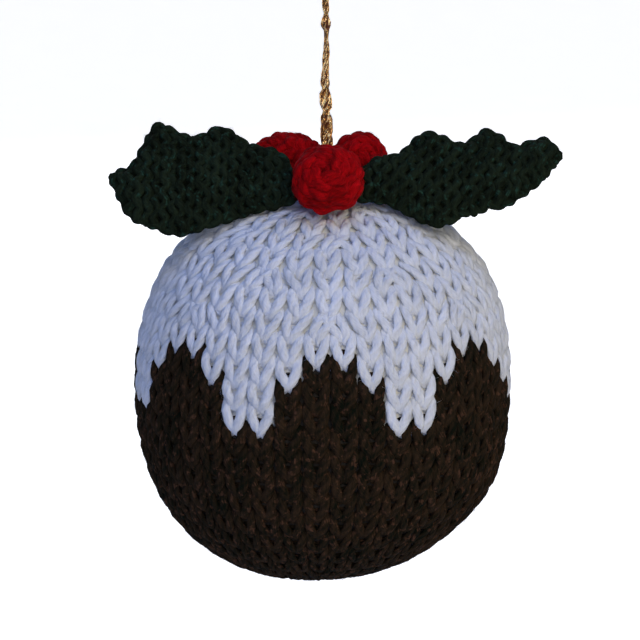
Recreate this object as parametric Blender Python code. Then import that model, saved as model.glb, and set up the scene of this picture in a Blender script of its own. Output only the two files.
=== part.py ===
"""A knitted Christmas pudding ornament that hangs from a gold thread.

A stuffed ball is knitted in brown wool with a white icing cap that runs down in stepped
drips.  Two green holly leaves and three red berries are sewn on top.  A thin gold cord rises
from between the berries to a knot and a small hanging loop.

The origin is the inside top of the hanging loop, where a hook or a twig carries the ornament.
+Z is up, the side with the third berry faces -Y, and all sizes are in metres.
"""
import math

import bmesh
import bpy
import numpy as np
from mathutils import Vector

# ---------------------------------------------------------------- driving dimensions
BALL_RADIUS = 0.0350          # widest half width of the stuffed ball
BALL_HALF_HEIGHT = 0.03675    # from the middle of the ball to either pole
BALL_FULLNESS = 2.2           # 2 is an ellipse, more is a squarer, fuller profile
BALL_DROP = 0.0880            # from the top of the loop down to the middle of the ball
BALL_SEGMENTS = 84
BALL_ROWS = 20
REST_SPOT_RADIUS = 0.0055     # small flat spot underneath

STITCHES_ROUND = 42           # columns of stitches at the widest part
ROW_HEIGHT = 0.0044           # one row of knitting
ICING_THICKNESS = 0.0030      # one layer of knitted wool
ICING_LEVEL = 0.0123          # height of the shortest icing columns above the middle
ICING_DRIPS = (3, 3, 1, 0, 0, 1)   # how many rows lower each column of a repeat ends
DRIP_AZIMUTH = math.radians(-23.4)  # middle of the drip that is left of the front
STITCH_POINT = 0.0021         # how far the V of a stitch hangs below its row
ICING_TOP_ROWS = 5
ICING_ROOM_ABOVE = 0.002      # how far the icing's cutter stands proud of the ball
GAP = 0.0003                  # clearance between pieces that touch
DRIP_GAP = 0.0005             # and between the brown and the white at the stepped edge

LEAF_LEAN = math.radians(34.0)     # the leaves lean back from upright
LEAF_THICKNESS = 0.0030
LEAF_RIM = 0.45               # thickness left at a leaf's edge
LEAF_BASE_FORWARD = 0.0086    # how far in front of the axis the leaf bases lie
LEAF_BASE_HEIGHT = 0.0391     # above the middle of the ball
LEAF_SWEEP = 0.13             # a leaf runs back by this much for each unit outward
LEAF_DIP = 0.029              # and down by this much
LEAF_CROWN = 0.0012           # how far a leaf's middle bulges forward
LEAF_END = 0.005              # length over which a leaf thins towards its base and its tip
LEAF_STATIONS = 30
LEAF_STRIPS = 6

# Outlines in the plane of each leaf: outward from its base, then up along the lean.
LEFT_LEAF_BASE = 0.0044
LEFT_LEAF_UPPER = (
    (0.0000, 0.0005), (0.0020, 0.0060), (0.0044, 0.0076), (0.0083, 0.0085), (0.0113, 0.0106),
    (0.0144, 0.0123), (0.0174, 0.0109), (0.0195, 0.0103), (0.0217, 0.0110), (0.0257, 0.0131),
    (0.0278, 0.0094), (0.0305, 0.0043), (0.0329, 0.0038), (0.0343, 0.0030), (0.0351, 0.0019),
)
LEFT_LEAF_LOWER = (
    (0.0000, -0.0031), (0.0038, -0.0045), (0.0071, -0.0052), (0.0133, -0.0073),
    (0.0202, -0.0096), (0.0233, -0.0097), (0.0275, -0.0081), (0.0304, -0.0068),
    (0.0320, -0.0048), (0.0338, -0.0011), (0.0347, 0.0004), (0.0351, 0.0012),
)
RIGHT_LEAF_BASE = 0.0060
RIGHT_LEAF_UPPER = (
    (0.0000, 0.0010), (0.0015, 0.0042), (0.0038, 0.0060), (0.0080, 0.0068), (0.0102, 0.0092),
    (0.0127, 0.0112), (0.0156, 0.0106), (0.0192, 0.0088), (0.0210, 0.0096), (0.0232, 0.0114),
    (0.0245, 0.0117), (0.0266, 0.0108), (0.0292, 0.0086), (0.0305, 0.0086), (0.0320, 0.0094),
    (0.0348, 0.0100), (0.0359, 0.0099), (0.0372, 0.0084), (0.0381, 0.0067),
)
RIGHT_LEAF_LOWER = (
    (0.0000, -0.0032), (0.0039, -0.0034), (0.0062, -0.0038), (0.0088, -0.0055),
    (0.0125, -0.0075), (0.0152, -0.0081), (0.0175, -0.0075), (0.0206, -0.0058),
    (0.0231, -0.0051), (0.0251, -0.0037), (0.0269, -0.0042), (0.0307, -0.0018),
    (0.0340, 0.0005), (0.0359, 0.0026), (0.0377, 0.0053), (0.0381, 0.0061),
)

# Each berry: middle measured from the middle of the ball, then its half sizes.
BERRIES = {
    "berry_front": ((0.0009, -0.0133, 0.0419), (0.0066, 0.0064, 0.0066)),
    "berry_rear_left": ((-0.0064, 0.0032, 0.0400), (0.0070, 0.0062, 0.0063)),
    "berry_rear_right": ((0.0068, 0.0032, 0.0412), (0.0056, 0.0056, 0.0056)),
}
BERRY_SEGMENTS = 20
BERRY_RINGS = 11

CORD_RADIUS = 0.0008
CORD_POINT_STEP = 0.0040      # two and a half diameters
CORD_SIDES_RESOLUTION = 2
# The cord's own route, from the top of the ball to the knot, measured from the ball's middle.
CORD_ROUTE = (
    (0.0009, -0.0016, 0.0371), (0.0009, -0.0015, 0.0430), (0.0007, -0.0010, 0.0500),
    (0.0005, -0.0004, 0.0570), (0.0007, 0.0000, 0.0640), (0.0006, 0.0000, 0.0700),
    (0.0004, 0.0000, 0.0736),
)
KNOT_MIDDLE = (0.0003, 0.0, 0.0755)    # measured from the middle of the ball
KNOT_HALF_SIZES = (0.0019, 0.0017, 0.0016)
KNOT_SEGMENTS = 16
KNOT_RINGS = 9
# One side of the hanging loop's centre line, out from and up from the middle of the knot.
LOOP_SIDE = ((0.0008, 0.0020), (0.0026, 0.0050), (0.0040, 0.0086), (0.0026, 0.0121))
LOOP_POINT_STEP = 0.0020


# ---------------------------------------------------------------- small helpers
def clear_scene():
    """Remove whatever the file holds."""
    for old in list(bpy.data.objects):
        bpy.data.objects.remove(old, do_unlink=True)


def material(name, colour, roughness, metallic=0.0):
    """A plain Principled material."""
    made = bpy.data.materials.new(name)
    made.use_nodes = True
    shader = made.node_tree.nodes["Principled BSDF"]
    shader.inputs["Base Color"].default_value = (*colour, 1.0)
    shader.inputs["Roughness"].default_value = roughness
    shader.inputs["Metallic"].default_value = metallic
    return made


def mesh_object(name, points, faces, finish):
    """An object of closed mesh, its points given from the ball's middle."""
    mesh = bpy.data.meshes.new(name)
    mesh.from_pydata([tuple(p) for p in points], [], faces)
    bm = bmesh.new()
    bm.from_mesh(mesh)
    bmesh.ops.recalc_face_normals(bm, faces=bm.faces)
    bm.to_mesh(mesh)
    bm.free()
    mesh.shade_smooth()
    mesh.set_sharp_from_angle(angle=math.radians(40.0))
    mesh.materials.append(finish)
    made = bpy.data.objects.new(name, mesh)
    made.location = (0.0, 0.0, -BALL_DROP)
    bpy.context.scene.collection.objects.link(made)
    return made


def cut_away(body, cutter):
    """Take the cutter's volume out of the body, and keep the cutter out of the model."""
    step = body.modifiers.new("cut", "BOOLEAN")
    step.operation = "DIFFERENCE"
    step.solver = "EXACT"
    step.object = cutter
    cutter.hide_render = True
    cutter.display_type = "WIRE"


def smooth_line(knots, steps=8):
    """Points along the Catmull-Rom curve through the knots."""
    padded = [2 * np.array(knots[0]) - np.array(knots[1])]
    padded += [np.array(k, dtype=float) for k in knots]
    padded.append(2 * padded[-1] - padded[-2])
    line = []
    for i in range(1, len(padded) - 2):
        a, b, c, d = padded[i - 1:i + 3]
        for step in range(steps):
            t = step / steps
            line.append(0.5 * (2 * b + (c - a) * t + (2 * a - 5 * b + 4 * c - d) * t ** 2
                               + (3 * b - a - 3 * c + d) * t ** 3))
    line.append(padded[-2])
    return np.array(line)


def even_points(line, spacing):
    """The same line, walked in equal steps of about the given length."""
    lengths = np.linalg.norm(np.diff(line, axis=0), axis=1)
    travelled = np.concatenate([[0.0], np.cumsum(lengths)])
    count = max(2, round(travelled[-1] / spacing) + 1)
    wanted = np.linspace(0.0, travelled[-1], count)
    return np.column_stack([np.interp(wanted, travelled, line[:, k]) for k in range(3)])


# ---------------------------------------------------------------- the stuffed ball
def ball_point(tilt, azimuth, grow=0.0):
    """A point on the ball.  Tilt runs from -90 to 90 degrees, azimuth 0 is the front."""
    power = 2.0 / BALL_FULLNESS
    out = (BALL_RADIUS + grow) * abs(math.cos(tilt)) ** power
    up = (BALL_HALF_HEIGHT + grow) * math.copysign(abs(math.sin(tilt)) ** power, tilt)
    return Vector((out * math.sin(azimuth), -out * math.cos(azimuth), up))


def tilt_at_height(height):
    """The tilt whose point on the ball is this high above its middle."""
    share = abs(height) / BALL_HALF_HEIGHT
    return math.copysign(math.asin(share ** (BALL_FULLNESS / 2.0)), height)


def tilt_at_radius(radius):
    """The tilt, below the middle, at which the ball is this wide."""
    return -math.acos((radius / BALL_RADIUS) ** (BALL_FULLNESS / 2.0))


def ball_solid(name, finish, segments=BALL_SEGMENTS, rows=BALL_ROWS, grow=0.0, turn=0.0):
    """The whole ball as one closed solid with a small flat spot underneath."""
    lowest = tilt_at_radius(REST_SPOT_RADIUS)
    tilts = [lowest + (math.pi / 2 - lowest) * row / rows for row in range(rows)]
    points = []
    for tilt in tilts:
        for k in range(segments):
            points.append(ball_point(tilt, turn + 2 * math.pi * k / segments, grow))
    points.append(ball_point(math.pi / 2, 0.0, grow))
    faces = [list(range(segments))]
    for row in range(rows - 1):
        for k in range(segments):
            a = row * segments + k
            b = row * segments + (k + 1) % segments
            faces.append([a, b, b + segments, a + segments])
    for k in range(segments):
        last = (rows - 1) * segments
        faces.append([last + k, last + (k + 1) % segments, len(points) - 1])
    return mesh_object(name, points, faces, finish)


# ---------------------------------------------------------------- the icing and its drips
def drip_level(stitch):
    """How many rows below the shortest column this column of stitches ends."""
    return ICING_DRIPS[stitch % len(ICING_DRIPS)]


def icing_solid(name, finish, inner, outer, spread=0.0):
    """The cap of white stitches, from inner to outer skin, its rim pushed out by spread."""
    wale = 2 * math.pi / STITCHES_ROUND
    first = DRIP_AZIMUTH - wale
    deepest = max(ICING_DRIPS)
    top_tilt = tilt_at_height(ICING_LEVEL)
    tilts = [math.pi / 2 + (top_tilt - math.pi / 2) * row / ICING_TOP_ROWS
             for row in range(1, ICING_TOP_ROWS + 1)]
    tilts += [tilt_at_height(ICING_LEVEL - ROW_HEIGHT * row) for row in range(1, deepest + 1)]
    slope_drop = spread * math.hypot(1.0, STITCH_POINT / (wale * BALL_RADIUS / 2))
    places = [(math.pi / 2, 0.0)]
    faces = []
    index = {}

    def place(column, row, drop=0.0, shift=0.0):
        key = (column % (2 * STITCHES_ROUND), row)
        if key not in index:
            tilt = tilts[row]
            if drop:
                tilt = tilt_at_height(ball_point(tilt, 0.0).z - drop)
            index[key] = len(places)
            places.append((tilt, first + column * wale / 2 + shift / BALL_RADIUS))
        return index[key]

    def rim_place(column, row):
        """A vertex on a boundary between two columns, moved if it is on the rim."""
        left = ICING_TOP_ROWS - 1 + drip_level(column // 2 - 1)
        right = ICING_TOP_ROWS - 1 + drip_level(column // 2)
        if row < min(left, right):
            return place(column, row)
        away = (left > right) - (left < right)
        return place(column, row, slope_drop, away * spread)

    for stitch in range(STITCHES_ROUND):
        left, middle, right = 2 * stitch, 2 * stitch + 1, 2 * stitch + 2
        last = ICING_TOP_ROWS - 1 + drip_level(stitch)
        faces.append([0, rim_place(left, 0), place(middle, 0)])
        faces.append([0, place(middle, 0), rim_place(right, 0)])
        for row in range(last):
            faces.append([rim_place(left, row), rim_place(left, row + 1),
                          place(middle, row + 1), place(middle, row)])
            faces.append([place(middle, row), place(middle, row + 1),
                          rim_place(right, row + 1), rim_place(right, row)])
        tip_tilt = tilt_at_height(ball_point(tilts[last], 0.0).z - STITCH_POINT - slope_drop)
        tip = len(places)
        places.append((tip_tilt, first + middle * wale / 2))
        faces.append([place(middle, last), rim_place(left, last), tip])
        faces.append([place(middle, last), tip, rim_place(right, last)])

    points = [ball_point(tilt, azimuth, outer) for tilt, azimuth in places]
    points += [ball_point(tilt, azimuth, -inner) for tilt, azimuth in places]
    return mesh_object(name, points, skin_to_shell(faces, len(places)), finish)


def skin_to_shell(faces, count):
    """Close an open skin: a second skin of the same faces, and walls round every open edge."""
    edges = {}
    for face in faces:
        for a, b in zip(face, face[1:] + face[:1]):
            edges[(a, b)] = True
    shell = [list(face) for face in faces]
    shell += [[v + count for v in reversed(face)] for face in faces]
    for a, b in edges:
        if (b, a) not in edges:
            shell.append([b, a, a + count, b + count])
    return shell


# ---------------------------------------------------------------- holly leaves
def leaf_solid(name, finish, side, base, upper, lower):
    """A padded leaf between its two edges.  Side is -1 for the left leaf, 1 for the right."""
    upper_line = smooth_line([(x, w, 0.0) for x, w in upper])
    lower_line = smooth_line([(x, w, 0.0) for x, w in lower])
    length = upper[-1][0]
    up = Vector((0.0, math.sin(LEAF_LEAN), math.cos(LEAF_LEAN)))
    facing = Vector((0.0, -math.cos(LEAF_LEAN), math.sin(LEAF_LEAN)))
    front = []
    back = []
    for i in range(LEAF_STATIONS + 1):
        along = length * math.sin(0.5 * math.pi * i / LEAF_STATIONS)
        high = np.interp(along, upper_line[:, 0], upper_line[:, 1])
        low = np.interp(along, lower_line[:, 0], lower_line[:, 1])
        rib = Vector((side * (base + along), LEAF_SWEEP * along - LEAF_BASE_FORWARD,
                      LEAF_BASE_HEIGHT - LEAF_DIP * along))
        fullness = min(1.0, along / LEAF_END, (length - along) / LEAF_END)
        for k in range(LEAF_STRIPS + 1):
            across = 2.0 * k / LEAF_STRIPS - 1.0
            middle = 1.0 - across ** 2
            place = rib + up * (low + (high - low) * (across + 1.0) / 2.0)
            place += facing * LEAF_CROWN * middle * fullness
            padded = LEAF_RIM + (1.0 - LEAF_RIM) * math.sqrt(middle * fullness)
            front.append(place + facing * 0.5 * LEAF_THICKNESS * padded)
            back.append(place - facing * 0.5 * LEAF_THICKNESS * padded)
    row = LEAF_STRIPS + 1
    faces = []
    for i in range(LEAF_STATIONS):
        for k in range(LEAF_STRIPS):
            a = i * row + k
            faces.append([a, a + row, a + row + 1, a + 1])
    return mesh_object(name, front + back, skin_to_shell(faces, len(front)), finish)


# ---------------------------------------------------------------- berries
def round_form(segments, rings, middle, half_sizes):
    """The points and faces of a ball with three half sizes."""
    bm = bmesh.new()
    bmesh.ops.create_uvsphere(bm, u_segments=segments, v_segments=rings, radius=1.0)
    bm.verts.index_update()
    points = [Vector([v.co[k] * half_sizes[k] + middle[k] for k in range(3)]) for v in bm.verts]
    faces = [[v.index for v in face.verts] for face in bm.faces]
    bm.free()
    return points, faces


def berry_solid(name, finish, middle, half_sizes, cutter):
    """A round woollen berry, flattened where it is sewn down on the ball."""
    points, faces = round_form(BERRY_SEGMENTS, BERRY_RINGS, middle, half_sizes)
    berry = mesh_object(name, points, faces, finish)
    cut_away(berry, cutter)
    return berry


# ---------------------------------------------------------------- gold cord, knot and loop
def cord_tube(name, finish, line):
    """A round tube with closed ends along the line."""
    curve = bpy.data.curves.new(name, "CURVE")
    curve.dimensions = "3D"
    curve.bevel_depth = CORD_RADIUS
    curve.bevel_resolution = CORD_SIDES_RESOLUTION
    curve.use_fill_caps = True
    spline = curve.splines.new("POLY")
    spline.points.add(len(line) - 1)
    for point, place in zip(spline.points, line):
        point.co = (*place, 1.0)
    curve.materials.append(finish)
    made = bpy.data.objects.new(name, curve)
    made.location = (0.0, 0.0, -BALL_DROP)
    bpy.context.scene.collection.objects.link(made)
    return made


def loop_line():
    """The loop above the knot, up one side, over the top and down the other side."""
    centre = Vector(KNOT_MIDDLE)
    top = [Vector((0.0, 0.0, BALL_DROP + CORD_RADIUS))]
    left = [centre + Vector((-out, 0.0, up)) for out, up in LOOP_SIDE]
    right = [centre + Vector((out, 0.0, up)) for out, up in LOOP_SIDE]
    return smooth_line(left + top + right[::-1])


def knot_solid(name, finish):
    """The small tied knot under the loop."""
    points, faces = round_form(KNOT_SEGMENTS, KNOT_RINGS, KNOT_MIDDLE, KNOT_HALF_SIZES)
    return mesh_object(name, points, faces, finish)


# ---------------------------------------------------------------- the whole ornament
def main():
    clear_scene()
    brown_wool = material("brown_wool", (0.034, 0.019, 0.012), 0.95)
    white_wool = material("white_wool", (0.62, 0.64, 0.78), 0.90)
    green_wool = material("green_wool", (0.004, 0.022, 0.014), 0.95)
    red_wool = material("red_wool", (0.36, 0.004, 0.008), 0.90)
    gold_thread = material("gold_thread", (0.72, 0.46, 0.16), 0.35, 1.0)

    quarter_stitch = 2 * math.pi / STITCHES_ROUND / 4
    pudding = ball_solid("pudding", brown_wool, turn=DRIP_AZIMUTH + quarter_stitch)
    icing_solid("icing", white_wool, ICING_THICKNESS, 0.0)
    icing_room = icing_solid("icing_room", white_wool, ICING_THICKNESS + GAP, ICING_ROOM_ABOVE, DRIP_GAP)
    cut_away(pudding, icing_room)

    leaf_solid("leaf_left", green_wool, -1, LEFT_LEAF_BASE, LEFT_LEAF_UPPER, LEFT_LEAF_LOWER)
    leaf_solid("leaf_right", green_wool, 1, RIGHT_LEAF_BASE, RIGHT_LEAF_UPPER, RIGHT_LEAF_LOWER)

    seat = ball_solid("berry_seat", white_wool, segments=48, rows=24, grow=GAP)
    for name, (middle, half_sizes) in BERRIES.items():
        berry_solid(name, red_wool, middle, half_sizes, seat)

    cord_tube("cord", gold_thread, even_points(smooth_line(CORD_ROUTE), CORD_POINT_STEP))
    knot_solid("cord_knot", gold_thread)
    cord_tube("cord_loop", gold_thread, even_points(loop_line(), LOOP_POINT_STEP))


main()
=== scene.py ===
# %% [markdown]
# # A knitted Christmas pudding on a gold thread
#
# The ornament is a stuffed ball knitted in stocking stitch: brown wool below, white wool above,
# with the white running down in stepped drips.  Two garter-stitch holly leaves and three red
# berries are sewn on top, and a gold cord rises from between the berries.
#
# Wool is drawn here as wool: every stitch is a loop of real yarn, so that the holes, the
# shadows between the legs and the bumpy outline all come from the geometry.  A flat ball with
# a knitted pattern painted on it would be quicker, and would show at the first side light.
#
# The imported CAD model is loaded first.  It fixes every place and size.

# %% Load the fixed frame
import math

import bpy
import numpy as np
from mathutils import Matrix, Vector


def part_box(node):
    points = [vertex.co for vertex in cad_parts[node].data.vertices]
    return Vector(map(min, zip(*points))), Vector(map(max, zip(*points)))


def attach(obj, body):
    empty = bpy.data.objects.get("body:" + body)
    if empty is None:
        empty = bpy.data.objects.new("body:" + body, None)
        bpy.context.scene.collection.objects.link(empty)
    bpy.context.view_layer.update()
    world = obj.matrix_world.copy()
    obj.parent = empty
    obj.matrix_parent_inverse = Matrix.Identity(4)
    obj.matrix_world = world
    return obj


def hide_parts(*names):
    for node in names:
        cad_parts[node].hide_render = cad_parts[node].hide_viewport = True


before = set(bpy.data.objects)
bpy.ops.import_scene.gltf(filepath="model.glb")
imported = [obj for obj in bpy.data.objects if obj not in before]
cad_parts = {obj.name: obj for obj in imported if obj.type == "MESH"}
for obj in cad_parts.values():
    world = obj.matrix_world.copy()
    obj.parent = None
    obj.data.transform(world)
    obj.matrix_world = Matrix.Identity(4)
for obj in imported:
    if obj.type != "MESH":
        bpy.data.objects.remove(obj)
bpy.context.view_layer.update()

icing_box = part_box("icing")
pudding_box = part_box("pudding")
BALL_RADIUS = 0.0350
BALL_HALF_HEIGHT = 0.03675
BALL_FULLNESS = 2.2
ball_middle = Vector((0.0, 0.0, icing_box[1][2] - BALL_HALF_HEIGHT))
print("ball middle", tuple(round(x, 5) for x in ball_middle),
      "half width in the frame", round((pudding_box[1][0] - pudding_box[0][0]) / 2, 5))

# %% [markdown]
# ## The camera
#
# The ornament is seen from a little above its own middle.  A long lens a good way off keeps
# the ball round, as a short lens close by would swell the front of it.

# %% Place the camera
CAMERA_TILT = math.radians(12.7)
CAMERA_DISTANCE = 0.90
FRAME_WIDTH = 0.1188
AIM = ball_middle + Vector((-0.00046, 0.0, 0.0118))

camera_data = bpy.data.cameras.new("camera")
camera_data.sensor_width = 36.0
camera_data.lens = camera_data.sensor_width * CAMERA_DISTANCE / FRAME_WIDTH
camera_data.clip_start = 0.05
camera = bpy.data.objects.new("camera", camera_data)
camera.location = AIM + CAMERA_DISTANCE * Vector(
    (0.0, -math.cos(CAMERA_TILT), math.sin(CAMERA_TILT)))
camera.rotation_euler = (math.pi / 2 - CAMERA_TILT, 0.0, 0.0)
bpy.context.scene.collection.objects.link(camera)
bpy.context.scene.camera = camera
print("lens", round(camera_data.lens, 1), "mm")

# %% [markdown]
# ## Lines that yarn follows
#
# Everything here is a strand that follows a line: wool round a stitch, thread round a cord.
# A line is given by a few knots and smoothed by a Catmull-Rom curve, which passes through
# every knot, so a stitch keeps the height and the depth that were chosen for it.


# %% Smooth lines
def smooth_line(knots, steps, closed=False):
    """Points along the Catmull-Rom curve through the knots, one row of numbers a point."""
    knots = np.asarray(knots, dtype=float)
    if closed:
        padded = np.vstack([knots[-1:], knots, knots[:2]])
    else:
        padded = np.vstack([2 * knots[0] - knots[1], knots, 2 * knots[-1] - knots[-2]])
    a, b, c, d = (padded[k:len(padded) - 3 + k, None, :] for k in range(4))
    t = (np.arange(steps) / steps)[None, :, None]
    line = 0.5 * (2 * b + (c - a) * t + (2 * a - 5 * b + 4 * c - d) * t ** 2
                  + (3 * b - a - 3 * c + d) * t ** 3)
    line = line.reshape(-1, knots.shape[1])
    return line if closed else np.vstack([line, knots[-1:]])


def line_length(line):
    """The length of a line of points."""
    return float(np.linalg.norm(np.diff(line, axis=0), axis=1).sum())


def even_points(line, spacing, closed=False):
    """The same line, walked in equal steps of about the given length."""
    if closed:
        line = np.vstack([line, line[:1]])
    lengths = np.linalg.norm(np.diff(line[:, :3], axis=0), axis=1)
    travelled = np.concatenate([[0.0], np.cumsum(lengths)])
    count = max(3, round(travelled[-1] / spacing) + 1)
    wanted = np.linspace(0.0, travelled[-1], count)
    walked = np.column_stack([np.interp(wanted, travelled, column) for column in line.T])
    return walked[:-1] if closed else walked


def unit(rows):
    """Each row of numbers made one long."""
    return rows / np.maximum(np.linalg.norm(rows, axis=-1, keepdims=True), 1e-12)


# %% [markdown]
# ## A skein: many strands in one mesh
#
# A knitted piece holds hundreds of strands.  A skein gathers them as tubes in one mesh, with
# two things that the wool's material needs: a map that runs along and round each strand, and
# a tone for each stitch, because no two stitches catch the light alike.
#
# A tube is a ring of points at each step of its line.  The ring stands square to the line and
# is turned by the surface below, not by the line's own bends, so it never flips over.  The
# ring isn't quite round: each ply of the yarn swells it a little, and the plies wind along
# the strand.
#
# Wool is hairy.  Fine bent fibres grow from the strands as real mesh, because they soften the
# edges that the light catches, and a bump in the material can't do that.


# %% The skein
FIBRE_RADIUS = 0.000020
RING_CORNERS = (0.0, 2.0944, 4.1888)     # a fibre is three-sided


def mesh_object(name, points, faces, finish, **marks):
    """A smooth mesh in the scene; each mark is a number for every point, by its label."""
    mesh = bpy.data.meshes.new(name)
    mesh.from_pydata(np.asarray(points, float).tolist(), [], faces)
    for label, values in marks.items():
        mark = mesh.attributes.new(label, "FLOAT", "POINT")
        mark.data.foreach_set("value", np.asarray(values, np.float32))
    mesh.shade_smooth()
    mesh.materials.append(finish)
    made = bpy.data.objects.new(name, mesh)
    bpy.context.scene.collection.objects.link(made)
    return made


class Skein:
    """Strands of yarn, gathered until they are made into one mesh."""

    def __init__(self):
        self.points, self.faces, self.places, self.tones = [], [], [], []
        self.count = 0
        self.roots = []

    def add(self, line, outward, radius, sides=12, closed=False, plies=3, swell=0.07,
            pitch=0.0075, flat=1.0, tone=0.5, turn=0.0, taper=3, hairy=1.0):
        """One strand along the line.  Outward points away from the surface that it lies on, and
        hairy is how much of the fuzz each point grows."""
        line, outward = np.asarray(line, float), np.asarray(outward, float)
        number = len(line)
        if closed:
            along = np.roll(line, -1, 0) - np.roll(line, 1, 0)
        else:
            along = np.gradient(line, axis=0)
        along = unit(along)
        up = unit(outward - (outward * along).sum(1, keepdims=True) * along)
        across = np.cross(along, up)
        steps = np.linalg.norm(np.diff(line, axis=0, append=line[:1]), axis=1)
        travelled = np.concatenate([[0.0], np.cumsum(steps)])[:number + 1]
        whole = travelled[-1] if closed else travelled[-2]
        turns = whole / pitch
        if closed:
            turns = max(1, round(turns * plies)) / plies
        radius = np.broadcast_to(np.asarray(radius, float), (number,)).copy()
        if not closed:
            for k in range(taper):
                share = math.sqrt(1.0 - ((taper - k) / (taper + 0.6)) ** 2)
                radius[k] *= share
                radius[-1 - k] *= share
        angle = 2 * math.pi * np.arange(sides) / sides
        wound = 2 * math.pi * turns * travelled[:number] / whole
        shape = 1.0 + swell * np.cos(plies * (angle[None, :] - wound[:, None] - turn))
        reach = radius[:, None] * shape
        ring = (line[:, None, :] + up[:, None, :] * (reach * np.cos(angle) * flat)[:, :, None]
                + across[:, None, :] * (reach * np.sin(angle))[:, :, None])
        self.roots.append(np.column_stack([
            line, up, across, radius, np.full(number, flat), np.broadcast_to(tone, (number,)),
            np.broadcast_to(hairy, (number,))]))
        first = self.count
        self.points.append(ring.reshape(-1, 3))
        self.tones.append(np.repeat(np.broadcast_to(tone, (number,)), sides))
        self.count += number * sides
        spans = number if closed else number - 1
        i, k = np.meshgrid(np.arange(spans), np.arange(sides), indexing="ij")
        j, m = (i + 1) % number, (k + 1) % sides
        quads = np.stack([i * sides + k, i * sides + m, j * sides + m, j * sides + k], -1)
        self.faces += (quads.reshape(-1, 4) + first).tolist()
        low, high = travelled[i], travelled[i + 1]
        left, right = k / sides, (k + 1) / sides
        corners = np.stack([low, left, low, right, high, right, high, left], -1)
        self.places.append(corners.reshape(-1, 2))
        if not closed:
            start = [first + n for n in reversed(range(sides))]
            end = [first + (number - 1) * sides + n for n in range(sides)]
            self.faces += [start, end]
            self.places.append(np.tile([0.0, 0.5], (sides, 1)))
            self.places.append(np.tile([whole, 0.5], (sides, 1)))

    def make(self, name, finish):
        """The mesh object of every strand so far."""
        made = mesh_object(name, np.concatenate(self.points), self.faces, finish,
                           tone=np.concatenate(self.tones))
        yarn = made.data.uv_layers.new(name="yarn")
        yarn.uv.foreach_set("vector", np.concatenate(self.places).astype(np.float32).ravel())
        triangles = sum(len(face) - 2 for face in self.faces)
        print(name, triangles, "triangles")
        return made

    def make_fuzz(self, name, finish, count, long, dice):
        """Fine bent fibres that grow from the strands, each a closed spike of four rings."""
        roots = np.concatenate(self.roots)
        chosen = dice.choice(len(roots), count, p=roots[:, 12] / roots[:, 12].sum())
        line, up, across = roots[chosen, 0:3], roots[chosen, 3:6], roots[chosen, 6:9]
        radius, flat, tone = (roots[chosen, k][:, None] for k in (9, 10, 11))
        along = np.cross(up, across)
        angle = dice.normal(0.0, 0.8, (count, 1))
        away = up * np.cos(angle) + across * np.sin(angle)
        start = line + radius * 0.85 * (up * np.cos(angle) * flat + across * np.sin(angle))
        sense = np.where(dice.uniform(size=(count, 1)) < 0.5, -1.0, 1.0)
        heading = unit(0.55 * away + sense * along * dice.uniform(0.3, 1.0, (count, 1))
                       + across * dice.normal(0.0, 0.5, (count, 1)))
        bend = -0.75 * away + along * dice.normal(0.0, 0.3, (count, 1)) \
            + across * dice.normal(0.0, 0.45, (count, 1))
        reach = long * dice.uniform(0.5, 1.3, (count, 1))
        rings = []
        for share in (0.0, 0.34, 0.68):
            centre = start + reach * (heading * share + bend * share ** 2 * 0.8)
            forward = unit(heading + 1.6 * bend * share)
            east = unit(np.cross(forward, away + 1e-6))
            north = np.cross(forward, east)
            for corner in RING_CORNERS:
                rings.append(centre + FIBRE_RADIUS * (1.0 - 0.6 * share)
                             * (math.cos(corner) * east + math.sin(corner) * north))
        rings.append(start + reach * (heading + 0.8 * bend))
        points = np.stack(rings, 1).reshape(-1, 3)
        faces = [(0, 2, 1)]
        for ring in (0, 3):
            for k in range(3):
                m = (k + 1) % 3
                faces.append((ring + k, ring + m, ring + 3 + m, ring + 3 + k))
        faces += [(6, 7, 9), (7, 8, 9), (8, 6, 9)]
        all_faces = [tuple(v + 10 * n for v in face) for n in range(count) for face in faces]
        made = mesh_object(name, points, all_faces, finish, tone=np.repeat(0.5 + 0.5 * tone, 10))
        made.data.uv_layers.new(name="yarn")
        print(name, count, "fibres")
        return made


# %% [markdown]
# ## What wool is made of
#
# Three effects are shared by all four colours of wool, so each is a node group.
#
# * *Fibres* gives the fine hairs that lie along a strand, slightly askew.
# * *Plies* gives the grooves between the plies that are twisted together, as a height.
# * *Wool colour* mixes the wool's own light and dark shades by the hairs, by the tone of each
#   stitch and by patches of dye, paints shade into the grooves between the plies, and adds a
#   few stray coloured hairs.
#
# Each reads the map that runs along and round the strand, so the hairs follow every loop.


# %% Node helpers
def feed(tree, node, feeds):
    """Feed a node's inputs with numbers, colours or other sockets."""
    for key, value in feeds.items():
        if isinstance(value, bpy.types.NodeSocket):
            tree.links.new(value, node.inputs[key])
        else:
            node.inputs[key].default_value = value


def put(tree, kind, feeds=None, **settings):
    """Add a node, set its properties, and feed its inputs with numbers or other sockets."""
    made = tree.nodes.new("ShaderNode" + kind)
    for name, value in settings.items():
        setattr(made, name, value)
    feed(tree, made, feeds or {})
    return made


def reckon(tree, operation, *terms, **settings):
    """One sum, such as MULTIPLY, of numbers or sockets."""
    return put(tree, "Math", dict(enumerate(terms)), operation=operation, **settings).outputs[0]


def blend(tree, share, low, high):
    """A colour between two others."""
    return put(tree, "Mix", {0: share, 6: low, 7: high}, data_type="RGBA").outputs[2]


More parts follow.
